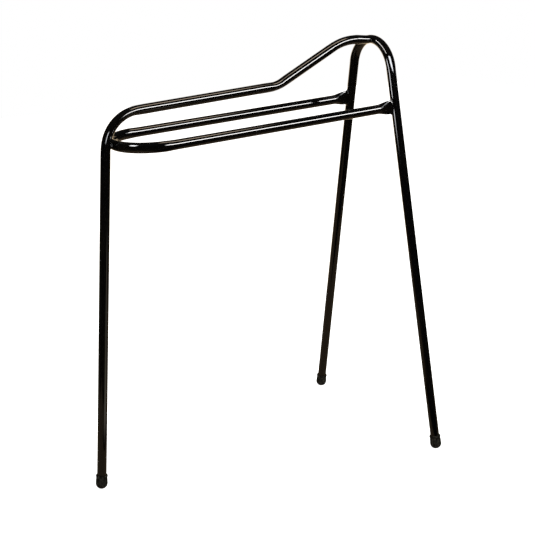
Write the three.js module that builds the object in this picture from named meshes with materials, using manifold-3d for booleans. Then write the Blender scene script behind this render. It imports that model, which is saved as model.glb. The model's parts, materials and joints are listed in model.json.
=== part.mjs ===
// Three-legged saddle stand: a rigid weldment of three bent steel tubes on rubber feet.
// Units are millimetres, +Z is up, the floor is z = 0. The stand is centred on x = y = 0:
// the single front leg is at -X, the rear arch with its two legs is at +X, left is +Y.

import * as THREE from 'three';
import { mergeVertices } from 'three/addons/utils/BufferGeometryUtils.js';
import Module from 'manifold-3d';

// ---------------------------------------------------------------- driving dimensions
const TUBE_OD = 20.0;          // stock 20 mm steel tube
const WALL = 1.2;
const SIDES = 20, BORE_SIDES = 12;   // facets round a tube and its bore
const BEND_STEP = THREE.MathUtils.degToRad(9);
const GAP = 0.3;               // clearance between separate pieces

const X_ORIGIN = 315.27;       // x of the stand's centre, measured from the shoulder corner

// spine tube (front leg, top rail, rising cantle), corner points in the plane y = 0
const FRONT_FOOT_X = -42.35;
const SHOULDER_Z = 776.7, SHOULDER_R = 74.5;
const KINK_X = 393.1, KINK_Z = 803.0, KINK_R = 78.6;
const CREST_X = 562.0, CREST_Z = 888.5, CREST_R = 124.4;
const SPINE_END_Z = 885.9;

// rear arch: plane leans back by REAR_FOOT_X - ARCH_TOP_X over its height
const ARCH_TOP_X = 638.2, ARCH_TOP_Z = 885.7, ARCH_R = 66.6;
const REAR_FOOT_X = 672.7, REAR_FOOT_Y = 225.0;

// side rail loop: a U whose two sides are the saddle rails
const LOOP_FRONT_X = 16.4, LOOP_HALF = 81.5;
const LOOP_Z0 = 716.2, LOOP_SLOPE = 0.0521;

// a bend flattens the tube in its own plane by OVAL / bend radius, and widens it across
const OVAL = 6.0;

// crushed tube ends
const CRUSH_HALF_T = 1.6;      // half thickness of a fully crushed end, outside
const RAIL_CRUSH_FLAT = 4, RAIL_CRUSH_LEN = 38;      // flat stretch, and where the round section is back
const CREST_CRUSH_FLAT = 3, CREST_CRUSH_LEN = 34;
const CREST_CRUSH = 0.16;      // the crest end is only lightly crushed

// rubber feet
const FOOT_R = 12.3, FOOT_LEN = 30.7, FOOT_FLOOR = 5.0, FOOT_SINK = 1.3;

// weld beads
const BEAD_R = 1.9;

const R = TUBE_OD / 2;
const X = (x) => x - X_ORIGIN;
const V = (x, y, z) => new THREE.Vector3(x, y, z);

// ---------------------------------------------------------------- solids
const wasm = await Module();
wasm.setup();

function solid(geometry) {
  const g = geometry.clone();
  g.deleteAttribute('normal');
  g.deleteAttribute('uv');
  const m = mergeVertices(g, 1e-4);
  return new wasm.Manifold(new wasm.Mesh({
    numProp: 3,
    vertProperties: new Float32Array(m.attributes.position.array),
    triVerts: new Uint32Array(m.index.array),
  }));
}

function geometryOf(manifold) {
  const mesh = manifold.getMesh();
  const g = new THREE.BufferGeometry();
  g.setAttribute('position', new THREE.BufferAttribute(new Float32Array(mesh.vertProperties), 3));
  g.setIndex(new THREE.BufferAttribute(new Uint32Array(mesh.triVerts), 1));
  return g;
}

// ---------------------------------------------------------------- centrelines
// A centreline is a list of stations {p, t}: a straight run is one step, a bend has a
// station every BEND_STEP, so facets are spent only where the tube turns.
class StationCurve extends THREE.Curve {
  constructor(stations) { super(); this.stations = stations; }
  at(u) {
    const n = this.stations.length - 1;
    const f = Math.min(Math.max(u, 0), 1) * n;
    const i = Math.min(Math.floor(f + 1e-9), n - 1);
    return [i, f - i];
  }
  getPoint(u, target = new THREE.Vector3()) {
    const [i, k] = this.at(u);
    return target.copy(this.stations[i].p).lerp(this.stations[i + 1].p, k);
  }
  getPointAt(u, target) { return this.getPoint(u, target); }
  getTangent(u, target = new THREE.Vector3()) {
    const [i, k] = this.at(u);
    return target.copy(this.stations[i].t).lerp(this.stations[i + 1].t, k).normalize();
  }
  getTangentAt(u, target) { return this.getTangent(u, target); }
  getSpacedPoints(n) {
    const out = [];
    for (let i = 0; i <= n; i++) out.push(this.getPoint(i / n));
    return out;
  }
}

// corners joined by straight runs and circular bends; extra stations at the listed
// distances from either end
function route(corners, radii, startExtra = [], endExtra = []) {
  const stations = [];
  const n = corners.length;
  const first = corners[1].clone().sub(corners[0]).normalize();
  stations.push({ p: corners[0].clone(), t: first.clone(), bend: 0 });
  for (const s of startExtra) stations.push({ p: corners[0].clone().addScaledVector(first, s), t: first.clone(), bend: 0 });
  for (let i = 1; i < n - 1; i++) {
    const a = corners[i].clone().sub(corners[i - 1]).normalize();
    const b = corners[i + 1].clone().sub(corners[i]).normalize();
    const turn = a.angleTo(b);
    const r = radii[i - 1];
    const tan = r * Math.tan(turn / 2);
    const start = corners[i].clone().addScaledVector(a, -tan);
    const side = b.clone().addScaledVector(a, -b.dot(a)).normalize();
    const steps = Math.max(2, Math.ceil(turn / BEND_STEP));
    for (let k = 0; k <= steps; k++) {
      const w = turn * k / steps;
      const p = start.clone().addScaledVector(a, r * Math.sin(w)).addScaledVector(side, r * (1 - Math.cos(w)));
      const t = a.clone().multiplyScalar(Math.cos(w)).addScaledVector(side, Math.sin(w));
      const last = stations[stations.length - 1];
      const bend = k === 0 || k === steps ? 0.35 / r : 1 / r;
      if (last.p.distanceTo(p) > 0.05) stations.push({ p, t, bend });
      else { last.t.copy(t); last.bend = 1 / r; }
    }
  }
  const end = corners[n - 1];
  const last = end.clone().sub(corners[n - 2]).normalize();
  for (const s of endExtra) stations.push({ p: end.clone().addScaledVector(last, -s), t: last.clone(), bend: 0 });
  stations.push({ p: end.clone(), t: last.clone(), bend: 0 });
  return stations;
}

function sweep(stations, radius, sides, across, overrun = 0) {
  const st = stations.map((s) => ({ p: s.p.clone(), t: s.t.clone(), bend: s.bend }));
  st[0].p.addScaledVector(st[0].t, -overrun);
  st[st.length - 1].p.addScaledVector(st[st.length - 1].t, overrun);
  const outline = [];
  for (let k = 0; k < sides; k++) {
    const w = 2 * Math.PI * (k + 0.5) / sides;
    outline.push(new THREE.Vector2(radius * Math.cos(w), radius * Math.sin(w)));
  }
  const g = new THREE.ExtrudeGeometry(new THREE.Shape(outline), {
    steps: st.length - 1, extrudePath: new StationCurve(st), curveSegments: 1,
  });
  flattenBends(g, st, across);
  return g;
}

// `across` is the normal of the plane that the tube is bent in
function flattenBends(geometry, st, across) {
  const pos = geometry.attributes.position;
  const p = new THREE.Vector3(), d = new THREE.Vector3();
  for (let i = 0; i < pos.count; i++) {
    p.fromBufferAttribute(pos, i);
    let best = null, near = 1e9;
    for (const s of st) {
      const off = Math.abs(d.copy(p).sub(s.p).dot(s.t)) + 1e-3 * d.length();
      if (d.length() < 2 * TUBE_OD && off < near) { near = off; best = s; }
    }
    if (!best || !best.bend) continue;
    d.copy(p).sub(best.p);
    const f = OVAL * best.bend;
    const c = d.dot(across);
    p.copy(best.p).addScaledVector(d.addScaledVector(across, -c), 1 - f).addScaledVector(across, c * (1 + f));
    pos.setXYZ(i, p.x, p.y, p.z);
  }
}

const ease = (k) => k * k * (3 - 2 * k);

// Crushes a straight tube end: the round section flows into a flat one of the same
// girth, wide along `wide`, thin along `thin`, within `length` of the end point.
function crush(geometry, end, inward, wide, thin, radius, halfT, flat, length, amount) {
  const pos = geometry.attributes.position;
  const p = new THREE.Vector3();
  for (let i = 0; i < pos.count; i++) {
    p.fromBufferAttribute(pos, i).sub(end);
    const s = p.dot(inward);
    if (s > length || p.length() > length + 4 * radius) continue;
    const a = p.dot(wide), b = p.dot(thin);
    const f = amount * (1 - ease(Math.min(Math.max((s - flat) / (length - flat), 0), 1)));
    const t = radius + (halfT - radius) * f;
    const l = Math.PI * (radius - t) / 2;
    let q = Math.abs(Math.atan2(a, b)) * radius;            // girth from the middle of the flat
    let aa, bb;
    if (q <= l) { aa = q; bb = t; }
    else if (q >= Math.PI * radius - l) { aa = Math.PI * radius - q; bb = -t; }
    else { const w = (q - l) / t; aa = l + t * Math.sin(w); bb = t * Math.cos(w); }
    if (a < 0) aa = -aa;
    const scale = Math.hypot(a, b) / radius;                // keeps cap centres in place
    p.copy(end).addScaledVector(inward, s).addScaledVector(wide, aa * scale).addScaledVector(thin, bb * scale);
    pos.setXYZ(i, p.x, p.y, p.z);
  }
  return geometry;
}

// A tube with its ends crushed as listed; `grow` adds clearance all round for cutters.
function tubeBody(stations, across, crushes, radius, inner, overrun) {
  const g = sweep(stations, radius, inner ? BORE_SIDES : SIDES, across, overrun);
  for (const c of crushes) {
    const halfT = inner ? CRUSH_HALF_T - WALL : CRUSH_HALF_T + (radius - R);
    crush(g, c.end, c.inward, c.wide, c.thin, radius, Math.max(halfT, 0.35), c.flat, c.length, c.amount);
  }
  return solid(g);
}
const hollow = (stations, across, crushes) => tubeBody(stations, across, crushes, R, false, 0)
  .subtract(tubeBody(stations, across, crushes, R - WALL, true, 1.5));
const cutter = (stations, across, crushes) => tubeBody(stations, across, crushes, R + GAP, false, GAP);

// ---------------------------------------------------------------- spine tube
const frontFoot = V(X(FRONT_FOOT_X), 0, 0);
const shoulder = V(X(0), 0, SHOULDER_Z);
const frontAxis = shoulder.clone().sub(frontFoot).normalize();
const archTop = V(X(ARCH_TOP_X), 0, ARCH_TOP_Z);
const crest = V(X(CREST_X), 0, CREST_Z);
const spineEnd = V(archTop.x - R * (1 + OVAL / ARCH_R) - GAP, 0, SPINE_END_Z);
const spineStations = route([
  frontFoot.clone().addScaledVector(frontAxis, FOOT_FLOOR + GAP),
  shoulder, V(X(KINK_X), 0, KINK_Z), crest, spineEnd,
], [SHOULDER_R, KINK_R, CREST_R], [], [25, 17, 10, 3]);
const spineDir = spineEnd.clone().sub(crest).normalize();
const spineCrush = {
  end: spineEnd, inward: spineDir.clone().negate(), wide: V(0, 1, 0),
  thin: V(-spineDir.z, 0, spineDir.x), flat: CREST_CRUSH_FLAT, length: CREST_CRUSH_LEN, amount: CREST_CRUSH,
};

// ---------------------------------------------------------------- rear arch
const archFall = V(X(REAR_FOOT_X) - archTop.x, 0, -ARCH_TOP_Z);
const archLen = archFall.length();
archFall.normalize();
const reach = Math.hypot(archLen - ARCH_R, REAR_FOOT_Y);
const flare = Math.atan2(REAR_FOOT_Y, archLen - ARCH_R) - Math.asin(ARCH_R / reach);
const archPoint = (u, y) => archTop.clone().addScaledVector(archFall, u).add(V(0, y, 0));
const legDir = (side) => archFall.clone().multiplyScalar(Math.cos(flare)).add(V(0, side * Math.sin(flare), 0));
function archStations() {
  const st = [];
  const half = Math.PI / 2 - flare;
  const steps = 2 * Math.ceil(half / BEND_STEP);
  const rightFoot = archPoint(archLen, -REAR_FOOT_Y).addScaledVector(legDir(-1), -(FOOT_FLOOR + GAP));
  const leftFoot = archPoint(archLen, REAR_FOOT_Y).addScaledVector(legDir(1), -(FOOT_FLOOR + GAP));
  st.push({ p: rightFoot, t: legDir(-1).negate(), bend: 0 });
  for (let k = 0; k <= steps; k++) {
    const w = -half + 2 * half * k / steps;
    st.push({
      p: archPoint(ARCH_R * (1 - Math.cos(w)), ARCH_R * Math.sin(w)),
      t: archFall.clone().multiplyScalar(Math.sin(w)).add(V(0, Math.cos(w), 0)),
      bend: k === 0 || k === steps ? 0.35 / ARCH_R : 1 / ARCH_R,
    });
  }
  st.push({ p: leftFoot, t: legDir(1), bend: 0 });
  return st;
}
const rearStations = archStations();

// where a rear leg's axis crosses the plane of the side rails
function legAtRail(side) {
  const z = LOOP_Z0 + LOOP_SLOPE * (archTop.x + X_ORIGIN + 6);
  const tangentU = ARCH_R * (1 - Math.cos(Math.PI / 2 - flare));
  const tangentY = ARCH_R * Math.sin(Math.PI / 2 - flare);
  const u = (ARCH_TOP_Z - z) / -archFall.z;
  return archPoint(u, side * (tangentY + (u - tangentU) * Math.tan(flare)));
}

// ---------------------------------------------------------------- side rail loop
const railDir = V(1, 0, LOOP_SLOPE).normalize();
const loopZ = (x) => LOOP_Z0 + LOOP_SLOPE * (x + X_ORIGIN);
function railEnd(side) {
  const leg = legAtRail(side);
  const x = leg.x - R - GAP - 0.15;
  return V(x, leg.y, loopZ(x));
}
const rightEnd = railEnd(-1), leftEnd = railEnd(1);
const loopFrontX = X(LOOP_FRONT_X);
const loopStations = route([
  rightEnd,
  V(loopFrontX, -LOOP_HALF, loopZ(loopFrontX)),
  V(loopFrontX, LOOP_HALF, loopZ(loopFrontX)),
  leftEnd,
], [LOOP_HALF - 0.4, LOOP_HALF - 0.4], [4, 9, 14, 19, 24, 29, 34, 38], [38, 34, 29, 24, 19, 14, 9, 4]);
function railCrush(end, side) {
  const into = V(loopFrontX + LOOP_HALF, side * LOOP_HALF, loopZ(loopFrontX + LOOP_HALF)).sub(end).normalize();
  const thin = V(-into.y, into.x, 0).normalize();
  return {
    end, inward: into, wide: new THREE.Vector3().crossVectors(into, thin).normalize(), thin,
    flat: RAIL_CRUSH_FLAT, length: RAIL_CRUSH_LEN, amount: 1,
  };
}
const loopCrushes = [railCrush(rightEnd, -1), railCrush(leftEnd, 1)];

// ---------------------------------------------------------------- rubber feet
// ferrule profile along the leg: domed sole, nearly straight body, rolled rim
function ferruleProfile() {
  const r = FOOT_R, h = FOOT_LEN;
  const bore = R + GAP;
  return [
    [0, 0], [3.6, 0.5], [6.4, 1.6], [8.8, 3.3], [10.7, 5.5], [11.9, 8.0], [r + 0.25, 11.0],
    [r - 0.25, h - 8], [r - 0.45, h - 5.1], [r + 0.25, h - 3.2], [r + 0.15, h - 1.2],
    [r - 0.5, h - 0.2], [r - 1.2, h], [bore, h], [bore, FOOT_FLOOR + FOOT_SINK], [0, FOOT_FLOOR + FOOT_SINK],
  ].map(([a, b]) => new THREE.Vector2(a, b));
}
function foot(base, axis) {
  const g = new THREE.LatheGeometry(ferruleProfile(), 24);
  const m = new THREE.Matrix4().makeRotationFromQuaternion(
    new THREE.Quaternion().setFromUnitVectors(V(0, 1, 0), axis));
  m.setPosition(base.clone().addScaledVector(axis, -FOOT_SINK));
  g.applyMatrix4(m);
  const floor = new THREE.BoxGeometry(80, 80, 40);
  floor.translate(base.x, base.y, -20);
  return solid(g).subtract(solid(floor));
}

// ---------------------------------------------------------------- weld beads
// ring bead laid round a crushed end, lying against the tube it butts on
function ringBead(c, radius, bead, lift) {
  const t = radius + (CRUSH_HALF_T - radius) * c.amount;
  const l = Math.PI * (radius - t) / 2;
  const out = 0.35 * bead;
  const girth = 4 * l + 2 * Math.PI * (t + out);
  const g = new THREE.TorusGeometry(100, bead, 7, 28);
  const pos = g.attributes.position;
  const p = new THREE.Vector3();
  for (let i = 0; i < pos.count; i++) {
    p.fromBufferAttribute(pos, i);
    let q = Math.atan2(p.y, p.x) / (2 * Math.PI);
    if (q < 0) q += 1;
    q = (q % 1) * girth;
    const off = Math.hypot(p.x, p.y) - 100, along = lift - p.z, rr = t + out, arc = Math.PI * rr;
    let a, b, na, nb;
    if (q < l) { a = q; b = rr; na = 0; nb = 1; }
    else if (q < l + arc) { const w = (q - l) / rr; na = Math.sin(w); nb = Math.cos(w); a = l + rr * na; b = rr * nb; }
    else if (q < 3 * l + arc) { a = l - (q - l - arc); b = -rr; na = 0; nb = -1; }
    else if (q < 3 * l + 2 * arc) { const w = Math.PI + (q - 3 * l - arc) / rr; na = Math.sin(w); nb = Math.cos(w); a = -l + rr * na; b = rr * nb; }
    else { a = -l + (q - 3 * l - 2 * arc); b = rr; na = 0; nb = 1; }
    p.copy(c.end).addScaledVector(c.inward, along)
      .addScaledVector(c.wide, a + na * off).addScaledVector(c.thin, b + nb * off);
    pos.setXYZ(i, p.x, p.y, p.z);
  }
  return g;
}
// the largest piece left by a cut; slivers beyond it are ground off
function largest(manifold) {
  const pieces = manifold.decompose();
  return pieces.reduce((a, b) => (b.volume() > a.volume() ? b : a));
}
function facingOut(geometry) {
  let m = solid(geometry);
  if (m.volume() < 0) {
    const ix = geometry.index;
    for (let i = 0; i < ix.count; i += 3) {
      const s = ix.getX(i); ix.setX(i, ix.getX(i + 2)); ix.setX(i + 2, s);
    }
    m = solid(geometry);
  }
  return m;
}
// bead in the notch between two tubes that cross
function notchBead(centre, axis, bead, length) {
  const g = new THREE.CapsuleGeometry(bead, length, 3, 10);
  g.applyMatrix4(new THREE.Matrix4().makeRotationFromQuaternion(
    new THREE.Quaternion().setFromUnitVectors(V(0, 1, 0), axis)).setPosition(centre));
  return solid(g);
}

// ---------------------------------------------------------------- assembly
const spinePlane = V(0, 1, 0);
const archPlane = new THREE.Vector3().crossVectors(archFall, V(0, 1, 0)).normalize();
const loopPlane = new THREE.Vector3().crossVectors(railDir, V(0, 1, 0)).normalize();
const spineSolid = hollow(spineStations, spinePlane, [spineCrush]);
const archSolid = hollow(rearStations, archPlane, []);
const loopSolid = hollow(loopStations, loopPlane, loopCrushes);
const spineCut = cutter(spineStations, spinePlane, [spineCrush]);
const archCut = cutter(rearStations, archPlane, []);
const loopCut = cutter(loopStations, loopPlane, loopCrushes);

const leftFootBase = archPoint(archLen, REAR_FOOT_Y), rightFootBase = archPoint(archLen, -REAR_FOOT_Y);

const touch = V(loopFrontX - R * (1 - OVAL / LOOP_HALF) - 0.2, 0, loopZ(loopFrontX));
const frontBead = (side) => notchBead(touch.clone().add(V(-0.6, side * 6.3, 0)), frontAxis, 2.6, 8)
  .subtract(spineCut).subtract(loopCut);

// upright bead down one side of a rail's flat end
function railBead(c, side) {
  const thin = c.thin.clone().multiplyScalar(Math.sign(c.thin.y) * side);
  const centre = c.end.clone().addScaledVector(thin, CRUSH_HALF_T + 1.0).addScaledVector(c.inward, 0.6);
  const leg = new THREE.CylinderGeometry(R + GAP + 0.05, R + GAP + 0.05, 90, 24);
  leg.applyMatrix4(new THREE.Matrix4().makeRotationFromQuaternion(
    new THREE.Quaternion().setFromUnitVectors(V(0, 1, 0), legDir(Math.sign(c.end.y)))).setPosition(
    legAtRail(Math.sign(c.end.y))));
  const flat = new THREE.BoxGeometry(60, 60, 2 * (CRUSH_HALF_T + GAP + 0.05));
  flat.applyMatrix4(new THREE.Matrix4().makeBasis(c.inward, c.wide,
    new THREE.Vector3().crossVectors(c.inward, c.wide)).setPosition(c.end));
  return largest(notchBead(centre, c.wide, 2.2, 19).subtract(solid(leg)).subtract(solid(flat)));
}

const stand = new THREE.Group();
function add(name, body, colour, roughness, metalness) {
  const mesh = new THREE.Mesh(geometryOf(body), new THREE.MeshStandardMaterial({ color: colour, roughness, metalness }));
  mesh.name = name;
  stand.add(mesh);
}
const ENAMEL = 0x0c0a0a, RUBBER = 0x1b1b1c, BEAD = 0x141110;
add('spine_tube', spineSolid, ENAMEL, 0.12, 0.0);
add('rear_leg_arch', archSolid, ENAMEL, 0.12, 0.0);
add('side_rail_loop', loopSolid, ENAMEL, 0.12, 0.0);
add('front_foot', foot(frontFoot, frontAxis), RUBBER, 0.72, 0.0);
add('left_rear_foot', foot(leftFootBase, legDir(1).negate()), RUBBER, 0.72, 0.0);
add('right_rear_foot', foot(rightFootBase, legDir(-1).negate()), RUBBER, 0.72, 0.0);
add('crest_weld', largest(facingOut(ringBead(spineCrush, R, BEAD_R, 0.2)).subtract(archCut).subtract(spineCut)), BEAD, 0.25, 0.0);
add('left_rail_weld_outer', railBead(loopCrushes[1], 1), BEAD, 0.25, 0.0);
add('left_rail_weld_inner', railBead(loopCrushes[1], -1), BEAD, 0.25, 0.0);
add('right_rail_weld_outer', railBead(loopCrushes[0], -1), BEAD, 0.25, 0.0);
add('right_rail_weld_inner', railBead(loopCrushes[0], 1), BEAD, 0.25, 0.0);
add('front_weld_left', frontBead(1), BEAD, 0.25, 0.0);
add('front_weld_right', frontBead(-1), BEAD, 0.25, 0.0);

export default stand;
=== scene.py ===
import json
import math

import bpy
import numpy as np
from mathutils import Matrix, Vector

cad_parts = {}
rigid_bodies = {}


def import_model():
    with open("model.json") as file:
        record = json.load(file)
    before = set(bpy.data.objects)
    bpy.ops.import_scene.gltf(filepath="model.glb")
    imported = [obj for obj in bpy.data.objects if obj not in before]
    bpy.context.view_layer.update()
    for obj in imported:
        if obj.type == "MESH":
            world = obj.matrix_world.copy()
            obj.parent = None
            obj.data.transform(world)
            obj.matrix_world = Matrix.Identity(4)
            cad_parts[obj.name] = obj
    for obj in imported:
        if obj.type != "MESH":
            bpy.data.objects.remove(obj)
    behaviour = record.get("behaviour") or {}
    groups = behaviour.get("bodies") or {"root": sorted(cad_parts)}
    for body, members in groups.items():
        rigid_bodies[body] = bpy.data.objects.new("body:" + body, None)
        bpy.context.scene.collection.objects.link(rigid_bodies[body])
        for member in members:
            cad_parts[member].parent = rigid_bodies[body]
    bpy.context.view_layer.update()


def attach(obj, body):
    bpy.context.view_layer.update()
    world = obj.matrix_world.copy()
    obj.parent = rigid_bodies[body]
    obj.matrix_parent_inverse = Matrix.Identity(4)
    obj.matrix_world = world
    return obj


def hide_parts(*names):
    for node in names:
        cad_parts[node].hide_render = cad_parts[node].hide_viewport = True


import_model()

# ------------------------------------------------------------------ dimensions (mm), as in the CAD source
R = 10.0
X_ORIGIN = 315.27
FRONT_FOOT_X = -42.35
SHOULDER_Z, SHOULDER_R = 776.7, 74.5
KINK_X, KINK_Z, KINK_R = 393.1, 803.0, 78.6
CREST_X, CREST_Z, CREST_R = 562.0, 888.5, 124.4
SPINE_END_Z = 885.9
ARCH_TOP_X, ARCH_TOP_Z, ARCH_R = 638.2, 885.7, 66.6
REAR_FOOT_X, REAR_FOOT_Y = 672.7, 225.0
LOOP_FRONT_X, LOOP_HALF = 16.4, 81.5
LOOP_Z0, LOOP_SLOPE = 716.2, 0.0521
OVAL = 6.0
CRUSH_HALF_T, CRUSH_FLAT, CRUSH_LEN = 2.6, 3.0, 39.0
CREST_CRUSH, CREST_CRUSH_FLAT, CREST_CRUSH_LEN = 0.16, 3.0, 34.0
FOOT_LEN, FOOT_FLOOR, FOOT_SINK = 30.7, 5.0, 1.3
MM = 0.001


def V(x, y, z):
    return np.array([x, y, z], float)


def unit(v):
    return v / np.linalg.norm(v)


def X(x):
    return x - X_ORIGIN


# ------------------------------------------------------------------ centrelines
def route(corners, radii, step_deg=2.0, end_fill=(), start_fill=()):
    """Stations (point, tangent) along straight runs joined by circular bends."""
    P, T = [corners[0].copy()], [unit(corners[1] - corners[0])]
    for s in start_fill:
        P.append(corners[0] + T[0] * s)
        T.append(T[0].copy())
    for i in range(1, len(corners) - 1):
        a, b = unit(corners[i] - corners[i - 1]), unit(corners[i + 1] - corners[i])
        turn = math.acos(max(-1, min(1, float(a @ b))))
        r = radii[i - 1]
        start = corners[i] - a * r * math.tan(turn / 2)
        side = unit(b - a * (a @ b))
        n = max(2, math.ceil(math.degrees(turn) / step_deg))
        for k in range(n + 1):
            w = turn * k / n
            p = start + a * r * math.sin(w) + side * r * (1 - math.cos(w))
            if np.linalg.norm(p - P[-1]) > 0.05:
                P.append(p)
                T.append(a * math.cos(w) + side * math.sin(w))
    last = unit(corners[-1] - corners[-2])
    for s in end_fill:
        P.append(corners[-1] - last * s)
        T.append(last.copy())
    P.append(corners[-1].copy())
    T.append(last.copy())
    return np.array(P), np.array(T)


def fill_long(P, T, longest=14.0):
    """Extra stations on the straight runs, so that the coating's detail has something to sit on."""
    p2, t2 = [P[0]], [T[0]]
    for i in range(1, len(P)):
        n = max(1, math.ceil(np.linalg.norm(P[i] - P[i - 1]) / longest))
        for k in range(1, n + 1):
            p2.append(P[i - 1] + (P[i] - P[i - 1]) * k / n)
            t2.append(unit(T[i - 1] + (T[i] - T[i - 1]) * k / n))
    return np.array(p2), np.array(t2)


def ease(k):
    return k * k * (3 - 2 * k)


def oval_axes(radius, half_t, memo={}):
    """Half height of the oval that is half_t thick and has the girth of the round tube."""
    key = (round(radius, 4), round(half_t, 4))
    if key not in memo:
        lo, hi = half_t, radius * 1.7
        for _ in range(40):
            a = (lo + hi) / 2
            girth = math.pi * (3 * (a + half_t) - math.sqrt((3 * a + half_t) * (a + 3 * half_t)))
            lo, hi = (a, hi) if girth < 2 * math.pi * radius else (lo, a)
        memo[key] = (lo + hi) / 2
    return memo[key]


def flat_section(a, b, radius, half_t):
    """Round section point (a wide, b thin) moved onto the flattened section of the same girth."""
    w = math.atan2(a, b)
    return oval_axes(radius, half_t) * math.sin(w), half_t * math.cos(w)


def crush_amount(s, flat, length):
    return 1 - ease(min(max((s - flat) / (length - flat), 0), 1))


def bend_amount(P, T):
    """OVAL / bend radius at each station, run in and out smoothly at the ends of a bend."""
    n = len(P)
    k = np.zeros(n)
    s = np.concatenate([[0.0], np.cumsum(np.linalg.norm(np.diff(P, axis=0), axis=1))])
    for i in range(n):
        a, b = max(i - 1, 0), min(i + 1, n - 1)
        c = np.clip(T[a] @ T[b], -1, 1)
        k[i] = math.acos(c) / max(s[b] - s[a], 1e-6)
    out = np.zeros(n)
    for i in range(n):
        w = np.clip(1 - np.abs(s - s[i]) / 9.0, 0, 1) * np.gradient(s)
        out[i] = float((w * k).sum() / w.sum())
    return OVAL * out


def tube_points(P, T, plane_normal, sides, radius=R, crushes=()):
    """Rings of a tube whose centreline lies in one plane; a bend flattens it a little in that plane."""
    nb = unit(plane_normal)
    oval = bend_amount(P, T)
    rings = []
    for i in range(len(P)):
        t = T[i]
        b = unit(nb - t * (nb @ t))
        n = np.cross(b, t)
        ring = []
        for k in range(sides):
            w = 2 * math.pi * k / sides
            ca, sa = math.cos(w), math.sin(w)
            kn, kb = 1 - oval[i], 1 + oval[i]
            ring.append(P[i] + (n * ca * kn + b * sa * kb) * radius)
        rings.append(ring)
    rings = np.array(rings)
    for c in crushes:
        for i in range(len(P)):
            s = float((P[i] - c["end"]) @ c["inward"])
            if s > c["length"] + 1 or np.linalg.norm(P[i] - c["end"]) > c["length"] + 3:
                continue
            f = c["amount"] * crush_amount(s, c["flat"], c["length"])
            if f <= 0:
                continue
            ht = radius + (CRUSH_HALF_T - radius) * f
            for k in range(sides):
                d = rings[i, k] - P[i]
                a, b = float(d @ c["wide"]), float(d @ c["thin"])
                aa, bb = flat_section(a, b, radius, ht)
                rings[i, k] = P[i] + c["wide"] * aa + c["thin"] * bb
    return rings


def new_object(name, verts, faces, mat, smooth=True, sharp_deg=None):
    me = bpy.data.meshes.new(name)
    me.from_pydata([tuple(v * MM) for v in verts], [], [tuple(f) for f in faces])
    me.validate()
    me.update()
    ob = bpy.data.objects.new(name, me)
    bpy.context.scene.collection.objects.link(ob)
    me.materials.append(mat)
    if smooth:
        for p in me.polygons:
            p.use_smooth = True
    if sharp_deg is not None:
        lim = math.radians(sharp_deg)
        import bmesh
        bm = bmesh.new()
        bm.from_mesh(me)
        bmesh.ops.recalc_face_normals(bm, faces=bm.faces)
        for e in bm.edges:
            if len(e.link_faces) == 2 and e.calc_face_angle(0.0) > lim:
                e.smooth = False
        bm.to_mesh(me)
        bm.free()
    return ob


def skin(name, rings, mat, cap=True, closed=False, sharp_deg=60):
    """Quads between rings; flat ends are closed with a centre fan."""
    m, s = rings.shape[0], rings.shape[1]
    verts = [v for ring in rings for v in ring]
    faces = []
    span = m if closed else m - 1
    for i in range(span):
        j = (i + 1) % m
        for k in range(s):
            l = (k + 1) % s
            faces.append((i * s + k, i * s + l, j * s + l, j * s + k))
    if cap and not closed:
        for i, flip in ((0, True), (m - 1, False)):
            c = len(verts)
            verts.append(rings[i].mean(0))
            for k in range(s):
                l = (k + 1) % s
                f = (i * s + k, i * s + l, c)
                faces.append(f[::-1] if flip else f)
    return new_object(name, np.array(verts), faces, mat, sharp_deg=sharp_deg)


# ------------------------------------------------------------------ materials
def nodes_of(mat):
    mat.use_nodes = True
    nt = mat.node_tree
    bsdf = next(n for n in nt.nodes if n.type == "BSDF_PRINCIPLED")
    return nt, bsdf


def link(nt, a, ao, b, bi):
    nt.links.new(a.outputs[ao], b.inputs[bi])


def noise(nt, coord, scale, detail=3.0, rough=0.55, dist=0.0):
    n = nt.nodes.new("ShaderNodeTexNoise")
    n.inputs["Scale"].default_value = scale
    n.inputs["Detail"].default_value = detail
    n.inputs["Roughness"].default_value = rough
    n.inputs["Distortion"].default_value = dist
    nt.links.new(coord, n.inputs["Vector"])
    return n


def ramp(nt, fac, stops):
    r = nt.nodes.new("ShaderNodeValToRGB")
    cr = r.color_ramp
    while len(cr.elements) < len(stops):
        cr.elements.new(0.5)
    for e, (pos, col) in zip(cr.elements, stops):
        e.position = pos
        e.color = (*col, 1.0) if len(col) == 3 else col
    nt.links.new(fac, r.inputs["Fac"])
    return r


def maprange(nt, fac, lo, hi, a=0.0, b=1.0):
    n = nt.nodes.new("ShaderNodeMapRange")
    n.inputs["From Min"].default_value = a
    n.inputs["From Max"].default_value = b
    n.inputs["To Min"].default_value = lo
    n.inputs["To Max"].default_value = hi
    nt.links.new(fac, n.inputs["Value"])
    return n


def math_node(nt, op, a, b):
    n = nt.nodes.new("ShaderNodeMath")
    n.operation = op
    for i, v in enumerate((a, b)):
        if isinstance(v, (int, float)):
            n.inputs[i].default_value = v
        else:
            nt.links.new(v, n.inputs[i])
    return n


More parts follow.
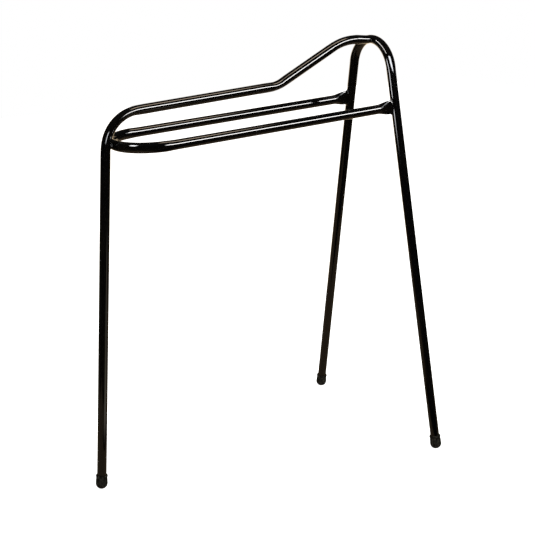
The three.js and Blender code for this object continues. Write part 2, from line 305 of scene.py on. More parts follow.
def enamel_material(name, weld=False):
    """Dipped gloss black enamel: a deep dark base, faint orange peel, a few hairline scuffs and
    dust specks, and a very smooth clear surface."""
    mat = bpy.data.materials.new(name)
    nt, bsdf = nodes_of(mat)
    tc = nt.nodes.new("ShaderNodeTexCoord")
    obj = tc.outputs["Object"]
    # colour: near black, with slight warm and green-blue drifts in the pigment
    n1 = noise(nt, obj, 14.0, 4.0, 0.6)
    col = ramp(nt, n1.outputs["Fac"], [
        (0.30, (0.0003, 0.0003, 0.0004)),
        (0.50, (0.0006, 0.0005, 0.0005)),
        (0.72, (0.0014, 0.0011, 0.0008)),
    ])
    # dust: sparse pale specks
    v = nt.nodes.new("ShaderNodeTexVoronoi")
    v.inputs["Scale"].default_value = 420.0
    v.inputs["Randomness"].default_value = 1.0
    nt.links.new(obj, v.inputs["Vector"])
    speck = maprange(nt, v.outputs["Distance"], 1.0, 0.0, 0.03, 0.06)
    n2 = noise(nt, obj, 26.0, 2.0, 0.5)
    gate = maprange(nt, n2.outputs["Fac"], 0.0, 1.0, 0.60, 0.68)
    dust = math_node(nt, "MULTIPLY", speck.outputs["Result"], gate.outputs["Result"])
    mix = nt.nodes.new("ShaderNodeMix")
    mix.data_type = "RGBA"
    nt.links.new(math_node(nt, "MULTIPLY", dust.outputs[0], 0.35).outputs[0], mix.inputs["Factor"])
    nt.links.new(col.outputs["Color"], mix.inputs["A"])
    mix.inputs["B"].default_value = (0.10, 0.09, 0.08, 1)
    nt.links.new(mix.outputs["Result"], bsdf.inputs["Base Color"])
    # roughness: low, with smeared patches and fine scuffs
    n3 = noise(nt, obj, 9.0, 5.0, 0.62, 0.4)
    r1 = maprange(nt, n3.outputs["Fac"], 0.035, 0.085, 0.35, 0.75)
    n4 = noise(nt, obj, 190.0, 3.0, 0.6, 1.6)
    scuff = maprange(nt, n4.outputs["Fac"], 0.0, 0.12, 0.68, 0.82)
    rr = math_node(nt, "ADD", r1.outputs["Result"], scuff.outputs["Result"])
    r3 = math_node(nt, "ADD", rr.outputs[0], math_node(nt, "MULTIPLY", dust.outputs[0], 0.4).outputs[0])
    nt.links.new(r3.outputs[0], bsdf.inputs["Roughness"])
    bsdf.inputs["Metallic"].default_value = 0.0
    bsdf.inputs["IOR"].default_value = 1.5
    bsdf.inputs["Coat Weight"].default_value = 0.35
    bsdf.inputs["Coat Roughness"].default_value = 0.02
    bsdf.inputs["Coat IOR"].default_value = 1.45
    # orange peel and sags of the dipped coating
    peel = noise(nt, obj, 260.0, 2.0, 0.5)
    sag = noise(nt, obj, 38.0, 2.0, 0.5)
    h = math_node(nt, "ADD",
                  math_node(nt, "MULTIPLY", peel.outputs["Fac"], 0.35 if not weld else 0.9).outputs[0],
                  math_node(nt, "MULTIPLY", sag.outputs["Fac"], 1.0).outputs[0])
    bump = nt.nodes.new("ShaderNodeBump")
    bump.inputs["Strength"].default_value = 0.05 if not weld else 0.30
    bump.inputs["Distance"].default_value = 0.0006 if not weld else 0.0010
    nt.links.new(h.outputs[0], bump.inputs["Height"])
    nt.links.new(bump.outputs["Normal"], bsdf.inputs["Normal"])
    return mat


def rubber_material(name):
    """Moulded charcoal rubber: matte, fine pebbled grain, floor dust near the sole."""
    mat = bpy.data.materials.new(name)
    nt, bsdf = nodes_of(mat)
    tc = nt.nodes.new("ShaderNodeTexCoord")
    obj = tc.outputs["Object"]
    n1 = noise(nt, obj, 260.0, 4.0, 0.65)
    col = ramp(nt, n1.outputs["Fac"], [
        (0.38, (0.0008, 0.0006, 0.0004)),
        (0.52, (0.0034, 0.0029, 0.0019)),
        (0.64, (0.0230, 0.0205, 0.0135)),
    ])
    sep = nt.nodes.new("ShaderNodeSeparateXYZ")
    nt.links.new(obj, sep.inputs["Vector"])
    low = maprange(nt, sep.outputs["Z"], 1.0, 0.0, 0.001, 0.010)
    n2 = noise(nt, obj, 240.0, 3.0, 0.6)
    blot = maprange(nt, n2.outputs["Fac"], 0.1, 1.0, 0.45, 0.62)
    dirt = math_node(nt, "MULTIPLY", low.outputs["Result"], blot.outputs["Result"])
    mix = nt.nodes.new("ShaderNodeMix")
    mix.data_type = "RGBA"
    nt.links.new(math_node(nt, "MULTIPLY", dirt.outputs[0], 0.35).outputs[0], mix.inputs["Factor"])
    nt.links.new(col.outputs["Color"], mix.inputs["A"])
    mix.inputs["B"].default_value = (0.030, 0.023, 0.016, 1)
    nt.links.new(mix.outputs["Result"], bsdf.inputs["Base Color"])
    rr = maprange(nt, n1.outputs["Fac"], 0.52, 0.74, 0.3, 0.8)
    nt.links.new(rr.outputs["Result"], bsdf.inputs["Roughness"])
    bsdf.inputs["IOR"].default_value = 1.48
    bsdf.inputs["Specular IOR Level"].default_value = 0.12
    grain = nt.nodes.new("ShaderNodeTexVoronoi")
    grain.inputs["Scale"].default_value = 900.0
    nt.links.new(obj, grain.inputs["Vector"])
    h = math_node(nt, "ADD",
                  math_node(nt, "MULTIPLY", grain.outputs["Distance"], 0.5).outputs[0],
                  math_node(nt, "MULTIPLY", n2.outputs["Fac"], 0.8).outputs[0])
    bump = nt.nodes.new("ShaderNodeBump")
    bump.inputs["Strength"].default_value = 0.35
    bump.inputs["Distance"].default_value = 0.0004
    nt.links.new(h.outputs[0], bump.inputs["Height"])
    nt.links.new(bump.outputs["Normal"], bsdf.inputs["Normal"])
    return mat


ENAMEL = enamel_material("gloss_black_enamel")
WELD = enamel_material("enamelled_weld", weld=True)
RUBBER = rubber_material("moulded_rubber")

# ------------------------------------------------------------------ tubes
SIDES = 64
front_foot = V(X(FRONT_FOOT_X), 0, 0)
shoulder = V(X(0), 0, SHOULDER_Z)
front_axis = unit(shoulder - front_foot)
arch_top = V(X(ARCH_TOP_X), 0, ARCH_TOP_Z)
crest = V(X(CREST_X), 0, CREST_Z)
ARCH_WIDE = R * (1 + OVAL / ARCH_R)
spine_end = V(arch_top[0] - ARCH_WIDE - 0.3, 0, SPINE_END_Z)
spine_dir = unit(spine_end - crest)
spine_crush = {"end": spine_end, "inward": -spine_dir, "wide": V(0, 1, 0),
               "thin": V(-spine_dir[2], 0, spine_dir[0]), "flat": CREST_CRUSH_FLAT,
               "length": CREST_CRUSH_LEN, "amount": CREST_CRUSH}
spineP, spineT = route(
    [front_foot + front_axis * (FOOT_FLOOR + 0.3), shoulder, V(X(KINK_X), 0, KINK_Z), crest, spine_end],
    [SHOULDER_R, KINK_R, CREST_R], 1.5, end_fill=[30, 26, 22, 18, 14, 10, 7, 4, 2])
spineP, spineT = fill_long(spineP, spineT)
spine = skin("spine_tube_fine", tube_points(spineP, spineT, V(0, 1, 0), SIDES, crushes=[spine_crush]), ENAMEL)

arch_fall = V(X(REAR_FOOT_X) - arch_top[0], 0, -ARCH_TOP_Z)
arch_len = float(np.linalg.norm(arch_fall))
arch_fall = arch_fall / arch_len
reach = math.hypot(arch_len - ARCH_R, REAR_FOOT_Y)
flare = math.atan2(REAR_FOOT_Y, arch_len - ARCH_R) - math.asin(ARCH_R / reach)


def arch_point(u, y):
    return arch_top + arch_fall * u + V(0, y, 0)


def leg_dir(side):
    return arch_fall * math.cos(flare) + V(0, side * math.sin(flare), 0)


def arch_stations(step_deg=1.5):
    P, T = [], []
    half = math.pi / 2 - flare
    n = 2 * math.ceil(math.degrees(half) / step_deg)
    P.append(arch_point(arch_len, -REAR_FOOT_Y) - leg_dir(-1) * (FOOT_FLOOR + 0.3))
    T.append(-leg_dir(-1))
    for k in range(n + 1):
        w = -half + 2 * half * k / n
        P.append(arch_point(ARCH_R * (1 - math.cos(w)), ARCH_R * math.sin(w)))
        T.append(arch_fall * math.sin(w) + V(0, math.cos(w), 0))
    P.append(arch_point(arch_len, REAR_FOOT_Y) - leg_dir(1) * (FOOT_FLOOR + 0.3))
    T.append(leg_dir(1))
    return fill_long(np.array(P), np.array(T))


archP, archT = arch_stations()
arch_normal = np.cross(arch_fall, V(0, 1, 0))
arch = skin("rear_arch_fine", tube_points(archP, archT, arch_normal, SIDES), ENAMEL)


def leg_at_rail(side):
    z = LOOP_Z0 + LOOP_SLOPE * (arch_top[0] + X_ORIGIN + 6)
    tu = ARCH_R * (1 - math.cos(math.pi / 2 - flare))
    ty = ARCH_R * math.sin(math.pi / 2 - flare)
    u = (ARCH_TOP_Z - z) / -arch_fall[2]
    return arch_point(u, side * (ty + (u - tu) * math.tan(flare)))


def loop_z(x):
    return LOOP_Z0 + LOOP_SLOPE * (x + X_ORIGIN)


def rail_end(side):
    leg = leg_at_rail(side)
    x = leg[0] - R - 0.45
    return V(x, leg[1], loop_z(x))


loop_front_x = X(LOOP_FRONT_X)
ends = {s: rail_end(s) for s in (-1, 1)}
fills = [2, 4, 6, 9, 11, 13, 15, 17, 19, 21, 23, 25, 27, 29, 31, 33, 35, 38]
loopP, loopT = route(
    [ends[-1], V(loop_front_x, -LOOP_HALF, loop_z(loop_front_x)),
     V(loop_front_x, LOOP_HALF, loop_z(loop_front_x)), ends[1]],
    [LOOP_HALF - 0.4, LOOP_HALF - 0.4], 1.5, start_fill=fills, end_fill=fills[::-1])
loopP, loopT = fill_long(loopP, loopT)


def rail_crush(side):
    end = ends[side]
    inner = V(loop_front_x + LOOP_HALF, side * LOOP_HALF, loop_z(loop_front_x + LOOP_HALF))
    inward = unit(inner - end)
    thin = unit(V(-inward[1], inward[0], 0))
    return {"end": end, "inward": inward, "wide": unit(np.cross(inward, thin)), "thin": thin,
            "flat": CRUSH_FLAT, "length": CRUSH_LEN, "amount": 1.0}


crushes = {s: rail_crush(s) for s in (-1, 1)}
rail_dir = unit(V(1, 0, LOOP_SLOPE))
loop_normal = np.cross(rail_dir, V(0, 1, 0))
loop = skin("side_rail_loop_fine",
            tube_points(loopP, loopT, loop_normal, SIDES, crushes=[crushes[-1], crushes[1]]), ENAMEL)


# ------------------------------------------------------------------ weld beads
rng = np.random.default_rng(7)


def smooth_noise(n, waves, seed):
    g = np.random.default_rng(seed)
    th = np.linspace(0, 2 * math.pi, n, endpoint=False)
    out = np.zeros(n)
    for w in waves:
        out += g.uniform(0.4, 1.0) * np.cos(w * th + g.uniform(0, 2 * math.pi)) / len(waves)
    return out


def on_axis(p, origin, axis, radius):
    """Nearest point of a straight tube's surface."""
    d = p - origin
    along = axis * float(d @ axis)
    radial = d - along
    return origin + along + unit(radial) * radius, unit(radial)


def on_arch(p, radius):
    """Nearest point of the arch's bent top, whose section is flattened in the bend's plane."""
    centre = arch_point(ARCH_R, 0)
    n = unit(arch_normal)
    d = p - centre
    inplane = d - n * float(d @ n)
    ring = centre + unit(inplane) * ARCH_R
    rad = unit(inplane)
    q = p - ring
    f = OVAL / ARCH_R
    a, b = float(q @ rad) / (1 - f), float(q @ n) / (1 + f)
    h = math.hypot(a, b)
    a, b = a / h, b / h
    return (ring + (rad * a * (1 - f) + n * b * (1 + f)) * radius,
            unit(rad * a / (1 - f) + n * b / (1 + f)))


def butt_weld(name, c, surface, leg_stub, leg_main, ripples, seed, n=180, m=10, bulge=0.18):
    """Fillet laid round a tube end that butts on another tube. surface(p) gives the nearest point
    and normal of that other tube."""
    rings = []
    t_end = R + (CRUSH_HALF_T - R) * c["amount"]
    l = math.pi * (R - t_end) / 2
    girth = 4 * l + 2 * math.pi * t_end
    wob = smooth_noise(n, (2, 3, 5, 7), seed)
    wob2 = smooth_noise(n, (3, 4, 6, 9), seed + 1)

    def outline(q, s):
        ht = R + (CRUSH_HALF_T - R) * c["amount"] * crush_amount(s, c["flat"], c["length"])
        w = q / girth * 2 * math.pi
        aa, bb = flat_section(math.sin(w) * R, math.cos(w) * R, R, ht)
        return c["end"] + c["inward"] * s + c["wide"] * aa + c["thin"] * bb

    for k in range(n):
        q = girth * k / n
        scallop = abs(math.sin(math.pi * ripples * k / n))
        a_len = leg_stub * (1 + 0.10 * wob[k] + 0.07 * scallop)
        b_len = leg_main * (1 + 0.10 * wob2[k] + 0.06 * scallop)
        A = outline(q, a_len)
        A0 = outline(q, 0.0)
        e = girth * 0.002
        tang = outline((q + e) % girth, 0.0) - outline((q - e) % girth, 0.0)
        nrm = unit(np.cross(c["inward"], unit(tang)))
        mid = c["end"]
        if (A0 - mid) @ nrm < 0:
            nrm = -nrm
        nA = unit(np.cross(c["inward"], unit(outline((q + e) % girth, a_len) - outline((q - e) % girth, a_len))))
        if (A - (mid + c["inward"] * a_len)) @ nA < 0:
            nA = -nA
        B, nB = surface(A0 + nrm * b_len - c["inward"] * 0.4)
        corner, nC = surface(A0 + nrm * 0.2)
        # control point: between the corner and the chord, so the toe lines run out smoothly
        chord = (A + B) / 2
        C = corner + (chord - corner) * (bulge + 0.10 * scallop)
        ring = []
        for j in range(m + 1):
            u = j / m
            p = A * (1 - u) ** 2 + C * 2 * u * (1 - u) + B * u * u
            lift = 0.10 + 0.22 * math.sin(math.pi * u) * (0.6 + 0.5 * scallop)
            dirn = unit(nA * (1 - u) + nB * u)
            ring.append(p + dirn * lift * (math.sin(math.pi * min(max(u, 0.0), 1.0)) * 0.9 + 0.02))
        ring.append(B - nB * 0.9)
        ring.append(corner - nC * 0.6 - nrm * 0.6)
        ring.append(A - nA * 0.9)
        rings.append(ring)
    return skin(name, np.array(rings), WELD, closed=True, sharp_deg=75)


def skin_closed_ring(name, rings, mat, sharp_deg=75):
    """Rings closed both ways (a deformed torus)."""
    m, s = rings.shape[:2]
    verts = [v for ring in rings for v in ring]
    faces = []
    for i in range(m):
        j = (i + 1) % m
        for k in range(s):
            l = (k + 1) % s
            faces.append((i * s + k, i * s + l, j * s + l, j * s + k))
    return new_object(name, np.array(verts), faces, mat, sharp_deg=sharp_deg)


rail_welds = {}
for side, nm, sd in ((1, "left", 11), (-1, "right", 23)):
    origin, axis = leg_at_rail(side), leg_dir(side)
    rail_welds[side] = butt_weld(
        nm + "_rail_weld_fine", crushes[side],
        lambda p, o=origin, a=axis: on_axis(p, o, a, R), 4.2, 4.0, 24, sd)
crest_weld = butt_weld("crest_weld_fine", spine_crush, lambda p: on_arch(p, R), 3.6, 3.4, 26, 31)


def cross_weld(name, touch, reach_y, reach_z, ripples, seed, n=140, m=8):
    """Fillet round the point where the loop's bend lies against the back of the front leg."""
    rings = []
    wob = smooth_noise(n, (2, 3, 5, 8), seed)
    leg_o = front_foot
    for k in range(n):
        th = 2 * math.pi * k / n
        scallop = abs(math.sin(math.pi * ripples * k / n))
        y = reach_y * math.cos(th) * (1 + 0.08 * wob[k] + 0.05 * scallop)
        z = reach_z * math.sin(th) * (1 + 0.08 * wob[k] + 0.05 * scallop)
        probe = touch + V(0, y, z)
        leg_s, leg_n = spine_near(probe - V(2.0, 0, 0))
        lp_s, lp_n = loop_near(probe + V(2.0, 0, 0))
        inner = touch + V(0, y, z) * 0.35
        out = unit(V(0, y, z))
        mid = (leg_s + lp_s) / 2
        C = mid - out * (1.6 - 0.5 * scallop)
        ring = []
        for j in range(m + 1):
            u = j / m
            ring.append(leg_s * (1 - u) ** 2 + C * 2 * u * (1 - u) + lp_s * u * u)
        ring.append(lp_s - lp_n * 0.9)
        ring.append(inner + V(0.6, 0, 0))
        ring.append(inner - V(0.6, 0, 0))
        ring.append(leg_s - leg_n * 0.9)
        rings.append(ring)
    return skin_closed_ring(name, np.array(rings), WELD)


def near_polyline(p, P):
    a, b = P[:-1], P[1:]
    d = b - a
    t = np.clip(((p - a) * d).sum(1) / (d * d).sum(1), 0, 1)
    q = a + d * t[:, None]
    k = int(np.argmin(((p - q) ** 2).sum(1)))
    return q[k]


def spine_near(p):
    q = near_polyline(p, spineP)
    r = unit(p - q)
    return q + r * R, r


def loop_near(p):
    q = near_polyline(p, loopP)
    f = OVAL / LOOP_HALF
    d = p - q
    up = unit(loop_normal) * float(d @ unit(loop_normal))
    r = unit((d - up) * (1 - f) + up * (1 + f))
    flat = r - unit(loop_normal) * float(r @ unit(loop_normal))
    return q + (flat * (1 - f) + (r - flat) * (1 + f)) * R, r


touch = V(loop_front_x - R * (1 - OVAL / LOOP_HALF) - 0.2, 0, loop_z(loop_front_x))
front_weld = cross_weld("front_weld_fine", touch, 7.4, 6.2, 22, 41)

# ------------------------------------------------------------------ rubber feet
FOOT_PROFILE = [
    (0.0, 0.0), (3.6, 0.5), (6.4, 1.6), (8.8, 3.3), (10.7, 5.5), (11.9, 8.0), (12.45, 10.4), (12.55, 12.6),
    (12.4, 16.5), (12.05, 22.3), (11.85, 25.6), (12.0, 26.5), (12.45, 27.3), (12.55, 28.4), (12.4, 29.5),
    (11.8, 30.4), (11.1, 30.7), (10.45, 30.55), (10.12, 30.0), (10.1, 20.0), (10.1, FOOT_FLOOR + FOOT_SINK),
    (0.0, FOOT_FLOOR + FOOT_SINK),
]


def catmull(points, per=5):
    pts = [np.array(p, float) for p in points]
    out = []
    for i in range(len(pts) - 1):
        p0, p1 = pts[max(i - 1, 0)], pts[i]
        p2, p3 = pts[i + 1], pts[min(i + 2, len(pts) - 1)]
        for k in range(per):
            t = k / per
            out.append(0.5 * ((2 * p1) + (p2 - p0) * t + (2 * p0 - 5 * p1 + 4 * p2 - p3) * t * t
                              + (3 * p1 - p0 - 3 * p2 + p3) * t ** 3))
    out.append(pts[-1])
    return out


def foot(name, base, axis, seed):
    """Push-on ferrule turned about the leg's axis, its sole worn flat where it stands."""
    n = 72
    prof = catmull(FOOT_PROFILE[:18], 4) + [np.array(p, float) for p in FOOT_PROFILE[18:]]
    prof = [p for p in prof]
    side = unit(np.cross(axis, V(0, 1, 0.01)))
    other = np.cross(axis, side)
    g = np.random.default_rng(seed)
    ph = g.uniform(0, 6.28, 4)
    verts, rings_idx = [], []
    for r, h in prof:
        if r < 1e-6:
            rings_idx.append([len(verts)])
            verts.append(base + axis * (h - FOOT_SINK))
            continue
        idx = []
        for k in range(n):
            th = 2 * math.pi * k / n
            rr = r
            if r > 10.2 and h > 3:
                # moulding flash lines on two sides and a slight squeeze where it grips the tube
                flash = math.exp(-((math.sin(th)) ** 2) / 0.0016) * 0.10
                rr += flash + 0.05 * math.cos(3 * th + ph[0]) + 0.04 * math.cos(5 * th + ph[1]) * math.sin(h * 0.3)
            idx.append(len(verts))
            verts.append(base + axis * (h - FOOT_SINK) + (side * math.cos(th) + other * math.sin(th)) * rr)
        rings_idx.append(idx)
    faces = []
    for a, b in zip(rings_idx[:-1], rings_idx[1:]):
        if len(a) == 1:
            for k in range(n):
                faces.append((a[0], b[(k + 1) % n], b[k]))
        elif len(b) == 1:
            for k in range(n):
                faces.append((a[k], a[(k + 1) % n], b[0]))
        else:
            for k in range(n):
                faces.append((a[k], a[(k + 1) % n], b[(k + 1) % n], b[k]))
    verts = np.array(verts)
    # the sole is pressed flat on the floor, and bulges a little just above it
    low = verts[:, 2] < 0
    verts[low, 2] = 0.0
    return new_object(name, verts, faces, RUBBER, sharp_deg=70)


feet = [
    foot("front_foot_fine", front_foot, front_axis, 1),
    foot("left_rear_foot_fine", arch_point(arch_len, REAR_FOOT_Y), -leg_dir(1), 2),
    foot("right_rear_foot_fine", arch_point(arch_len, -REAR_FOOT_Y), -leg_dir(-1), 3),
]

# ------------------------------------------------------------------ riding on the frame
for ob in (spine, arch, loop, rail_welds[1], rail_welds[-1], crest_weld, front_weld, *feet):
    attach(ob, "root")
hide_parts("spine_tube")
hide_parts("rear_leg_arch")
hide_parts("side_rail_loop")
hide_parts("left_rail_weld_outer", "left_rail_weld_inner")
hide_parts("right_rail_weld_outer", "right_rail_weld_inner")
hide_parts("crest_weld")
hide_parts("front_weld_left", "front_weld_right")
for ob, node in zip(feet, ("front_foot", "left_rear_foot", "right_rear_foot")):
    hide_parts(node)

# ------------------------------------------------------------------ stage
scene = bpy.context.scene
scene.view_settings.view_transform = "Standard"
scene.view_settings.look = "None"
scene.view_settings.exposure = 0.0
scene.view_settings.gamma = 1.0


def floor_piece():
    """Seamless pale floor."""
    n = 48
    size = 9.0
    verts, faces = [], []
    for j in range(n + 1):
        for i in range(n + 1):
            verts.append(V((i / n - 0.5) * size, (j / n - 0.5) * size, 0) / MM)
    for j in range(n):
        for i in range(n):
            a = j * (n + 1) + i
            faces.append((a, a + 1, a + n + 2, a + n + 1))
    mat = bpy.data.materials.new("pale_floor")
    nt, bsdf = nodes_of(mat)
    bsdf.inputs["Base Color"].default_value = (0.90, 0.90, 0.895, 1)
    bsdf.inputs["Roughness"].default_value = 0.9
    bsdf.inputs["Specular IOR Level"].default_value = 0.0
    bsdf.inputs["Emission Color"].default_value = (1.0, 1.0, 0.995, 1)
    bsdf.inputs["Emission Strength"].default_value = 0.60
    ob = new_object("floor", np.array(verts), faces, mat, smooth=False)
    ob.location.z = -0.0002
    ob.visible_glossy = False
    return ob


floor_piece()


def card(name, centre, normal, width, height, colour, strength, up=V(0, 0, 1), fade=(0.1, 0.1, 0.1, 0.1)):
    """A glowing card that is seen only in reflections. fade gives the soft share of its width at the
    left and right, and of its height at the bottom and top."""
    nrm = unit(normal)
    side = unit(np.cross(up, nrm))
    upv = np.cross(nrm, side)
    c = centre * 1000.0
    w, h = width * 500.0, height * 500.0
    verts = [c - side * w - upv * h, c + side * w - upv * h, c + side * w + upv * h, c - side * w + upv * h]
    mat = bpy.data.materials.new(name)
    mat.use_nodes = True
    nt = mat.node_tree
    nt.nodes.clear()
    em = nt.nodes.new("ShaderNodeEmission")
    out = nt.nodes.new("ShaderNodeOutputMaterial")
    em.inputs["Color"].default_value = (*colour, 1)
    tc = nt.nodes.new("ShaderNodeTexCoord")
    sep = nt.nodes.new("ShaderNodeSeparateXYZ")
    nt.links.new(tc.outputs["UV"], sep.inputs["Vector"])
    total = None
    for axis, lo, hi in (("X", fade[0], fade[1]), ("Y", fade[2], fade[3])):
        for width_of, flip in ((lo, False), (hi, True)):
            if width_of <= 0:
                continue
            m = nt.nodes.new("ShaderNodeMapRange")
            m.interpolation_type = "SMOOTHSTEP"
            m.inputs["From Min"].default_value = 1.0 if flip else 0.0
            m.inputs["From Max"].default_value = 1.0 - width_of if flip else width_of
            nt.links.new(sep.outputs[axis], m.inputs["Value"])
            total = m.outputs["Result"] if total is None else math_node(nt, "MULTIPLY", total, m.outputs["Result"]).outputs[0]
    if total is None:
        em.inputs["Strength"].default_value = strength
    else:
        nt.links.new(math_node(nt, "MULTIPLY", total, strength).outputs[0], em.inputs["Strength"])
    nt.links.new(em.outputs[0], out.inputs["Surface"])
    ob = new_object(name, np.array(verts), [(0, 1, 2, 3)], mat, smooth=False)
    uv = ob.data.uv_layers.new(name="UVMap")
    for k, xy in enumerate(((0, 0), (1, 0), (1, 1), (0, 1))):
        uv.data[k].uv = xy
    ob.visible_camera = False
    ob.visible_diffuse = False
    ob.visible_shadow = False
    ob.visible_transmission = False
    return ob


def area(name, centre, target, width, height, radiance, colour=(1, 1, 1)):
    """Soft box of the given size; its power follows from the radiance wanted in reflections."""
    li = bpy.data.lights.new(name, "AREA")
    li.shape = "RECTANGLE"
    li.size, li.size_y = width, height
    li.energy = radiance * math.pi * width * height
    li.color = colour
    ob = bpy.data.objects.new(name, li)
    scene.collection.objects.link(ob)
    ob.location = Vector(centre)
    ob.rotation_mode = "QUATERNION"
    ob.rotation_quaternion = (Vector(target) - Vector(centre)).to_track_quat("-Z", "Y")
    return ob


# world: white for the camera, dim warm surroundings in reflections
world = bpy.data.worlds.new("studio")
scene.world = world
world.use_nodes = True
wt = world.node_tree
wt.nodes.clear()
wout = wt.nodes.new("ShaderNodeOutputWorld")
bg_white = wt.nodes.new("ShaderNodeBackground")
bg_white.inputs["Color"].default_value = (1, 1, 1, 1)
bg_white.inputs["Strength"].default_value = 1.0
bg_refl = wt.nodes.new("ShaderNodeBackground")
bg_refl.inputs["Strength"].default_value = 1.0
lp = wt.nodes.new("ShaderNodeLightPath")
wmix = wt.nodes.new("ShaderNodeMixShader")
wtc = wt.nodes.new("ShaderNodeTexCoord")
wsep = wt.nodes.new("ShaderNodeSeparateXYZ")
wt.links.new(wtc.outputs["Generated"], wsep.inputs["Vector"])
wramp = wt.nodes.new("ShaderNodeValToRGB")
wmap = wt.nodes.new("ShaderNodeMapRange")
wmap.inputs["From Min"].default_value = -1.0
wmap.inputs["From Max"].default_value = 1.0
wt.links.new(wsep.outputs["Z"], wmap.inputs["Value"])
wt.links.new(wmap.outputs["Result"], wramp.inputs["Fac"])
cr = wramp.color_ramp
stops = [(0.0, (0.045, 0.034, 0.022)), (0.42, (0.020, 0.016, 0.012)), (0.50, (0.010, 0.010, 0.010)),
         (0.75, (0.016, 0.017, 0.017)), (1.0, (0.035, 0.035, 0.035))]
while len(cr.elements) < len(stops):
    cr.elements.new(0.5)
for e, (p, c) in zip(cr.elements, stops):
    e.position = p
    e.color = (*c, 1)
wt.links.new(wramp.outputs["Color"], bg_refl.inputs["Color"])
wt.links.new(lp.outputs["Is Glossy Ray"], wmix.inputs["Fac"])
wt.links.new(bg_white.outputs[0], wmix.inputs[1])
wt.links.new(bg_refl.outputs[0], wmix.inputs[2])
wt.links.new(wmix.outputs[0], wout.inputs["Surface"])

# key soft box, camera right
obj_c = V(0.0, 0.0, 0.80)


def polar(az, el, dist, centre=obj_c):
    a, e = math.radians(az), math.radians(el)
    return centre + V(math.cos(a) * math.cos(e), math.sin(a) * math.cos(e), math.sin(e)) * dist


def facing(name, centre, target, width, height, colour, strength, **kw):
    return card(name, centre, target - centre, width, height, colour, strength, **kw)


# soft light for the floor and the matte parts; the gloss sees the cards instead
for nm, az, el, w, h, e in (("key_box", -62, 34, 2.4, 1.4, 9.0), ("left_box", 165, 30, 1.6, 1.6, 5.0)):
    area(nm, polar(az, el, 3.2), obj_c, w, h, e).visible_glossy = False

def lit_only(light, *names):
    """Keeps a light or card to the named pieces, as a flag or a snoot does on a studio light."""
    receivers = bpy.data.collections.new(light.name + "_lit")
    for n in names:
        receivers.objects.link(bpy.data.objects[n])
    light.light_linking.receiver_collection = receivers
    return light


def seen_from(name, point, az, el, dist, half_az, half_el, radiance, colour):
    """Area light that a point of the stand sees at az, el, with half angles to each side."""
    centre = polar(az, el, dist, point)
    ob = area(name, centre, point, 2 * dist * math.tan(math.radians(half_az)),
              2 * dist * math.tan(math.radians(half_el)), radiance, colour)
    ob.visible_camera = False
    ob.visible_diffuse = False
    return ob


SPINE, ARCH, LOOP = "spine_tube_fine", "rear_arch_fine", "side_rail_loop_fine"
BEADS = [o.name for o in bpy.data.objects if "weld" in o.name and o.name.endswith("_fine")]
ALL_FINE = [o.name for o in bpy.data.objects if o.name.endswith("_fine")]

lit_only(facing("key_card", polar(-64, 24, 3.2), obj_c, 3.0, 0.60, (1.0, 0.99, 0.98), 32.0, fade=(0.12, 0.22, 0.12, 0.12)),
         *[n for n in ALL_FINE if n != ARCH])
lit_only(card("ceiling", V(0.56, -0.20, 2.9), V(0, 0, -1), 1.40, 0.46, (1.0, 0.80, 0.60), 8.0, up=V(0, 1, 0), fade=(0.25, 0.22, 0.2, 0.2)),
         SPINE, LOOP)
lit_only(facing("side_strip", V(-1.80, -1.17, 1.23), V(-0.32, 0, 0.74), 0.50, 0.95, (0.95, 0.97, 1.0), 15.0, fade=(0.25, 0.25, 0.35, 0.15)),
         SPINE, *BEADS)
lit_only(seen_from("arch_window", V(0.32, -0.07, 0.84), -95, 29, 2.8, 17, 16, 19.0, (0.92, 0.95, 1.0)), ARCH)
lit_only(seen_from("arch_strip", V(0.31, -0.05, 0.87), 176, 50, 2.5, 27, 4.5, 18.0, (1.0, 0.95, 0.92)), ARCH)
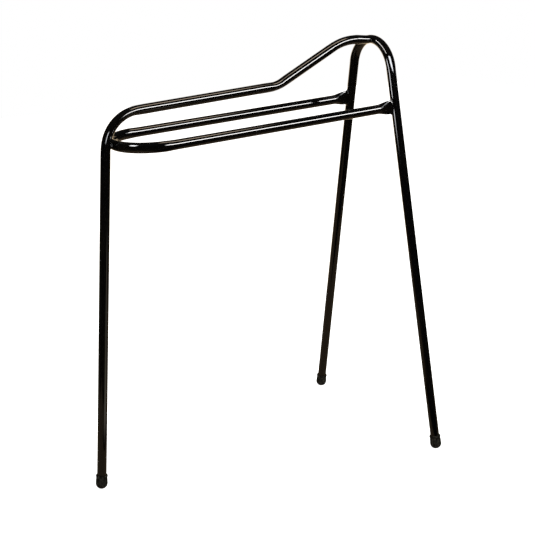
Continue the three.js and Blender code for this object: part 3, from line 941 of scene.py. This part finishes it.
lit_only(facing("leg_strip", V(-2.185, -0.114, 0.89), V(0.315, -0.07, 0.89), 0.80, 0.98, (0.97, 0.97, 1.0), 15.0, fade=(0.25, 0.25, 0.16, 0.1)),
         ARCH)
lit_only(seen_from("flare_window", V(0.295, -0.087, 0.755), -36, 24, 3.0, 6, 9, 3.2, (0.95, 0.98, 1.0)), LOOP)
lit_only(seen_from("bend_window", V(-0.286, -0.058, 0.724), -175, 39, 3.0, 8, 9, 22.0, (0.97, 0.98, 1.0)), LOOP)
lit_only(card("floor_glint", V(0.341, -1.058, -0.011), V(0, 0, 1), 0.5, 2.1, (1.0, 0.88, 0.70), 0.95, up=V(0.545, -0.839, 0), fade=(0.35, 0.35, 0.1, 0.3)),
         SPINE)
card("floor_bounce", V(0.15, 0.25, -0.012), V(0, 0, 1), 2.6, 1.7, (1.0, 0.72, 0.45), 0.20, up=V(0, 1, 0))
facing("backdrop", V(0.82, 1.78, 0.30), V(-0.30, 0, 0.74), 3.4, 2.2, (1.0, 0.78, 0.50), 1.5, fade=(0.3, 0.3, 0.3, 0.3))

# ------------------------------------------------------------------ camera
cam_data = bpy.data.cameras.new("camera")
cam = bpy.data.objects.new("camera", cam_data)
scene.collection.objects.link(cam)
cam_data.sensor_fit = "HORIZONTAL"
cam_data.sensor_width = 36.0
cam_data.lens = 1227.977 / 535.0 * 36.0
cam_data.clip_start, cam_data.clip_end = 0.05, 60
yaw, pitch, roll = 0.568578, 0.287434, -0.001033
f = V(math.sin(yaw) * math.cos(pitch), math.cos(yaw) * math.cos(pitch), -math.sin(pitch))
r = V(math.cos(yaw), -math.sin(yaw), 0)
u = np.cross(r, f)
r2 = math.cos(roll) * r + math.sin(roll) * u
u2 = -math.sin(roll) * r + math.cos(roll) * u
pos = (V(-1042.804, -2231.701, 1209.031) * 0.962 - V(X_ORIGIN, 0, -2.7)) * MM
m = Matrix(((r2[0], u2[0], -f[0], pos[0]), (r2[1], u2[1], -f[1], pos[1]), (r2[2], u2[2], -f[2], pos[2]), (0, 0, 0, 1)))
cam.matrix_world = m
scene.camera = cam
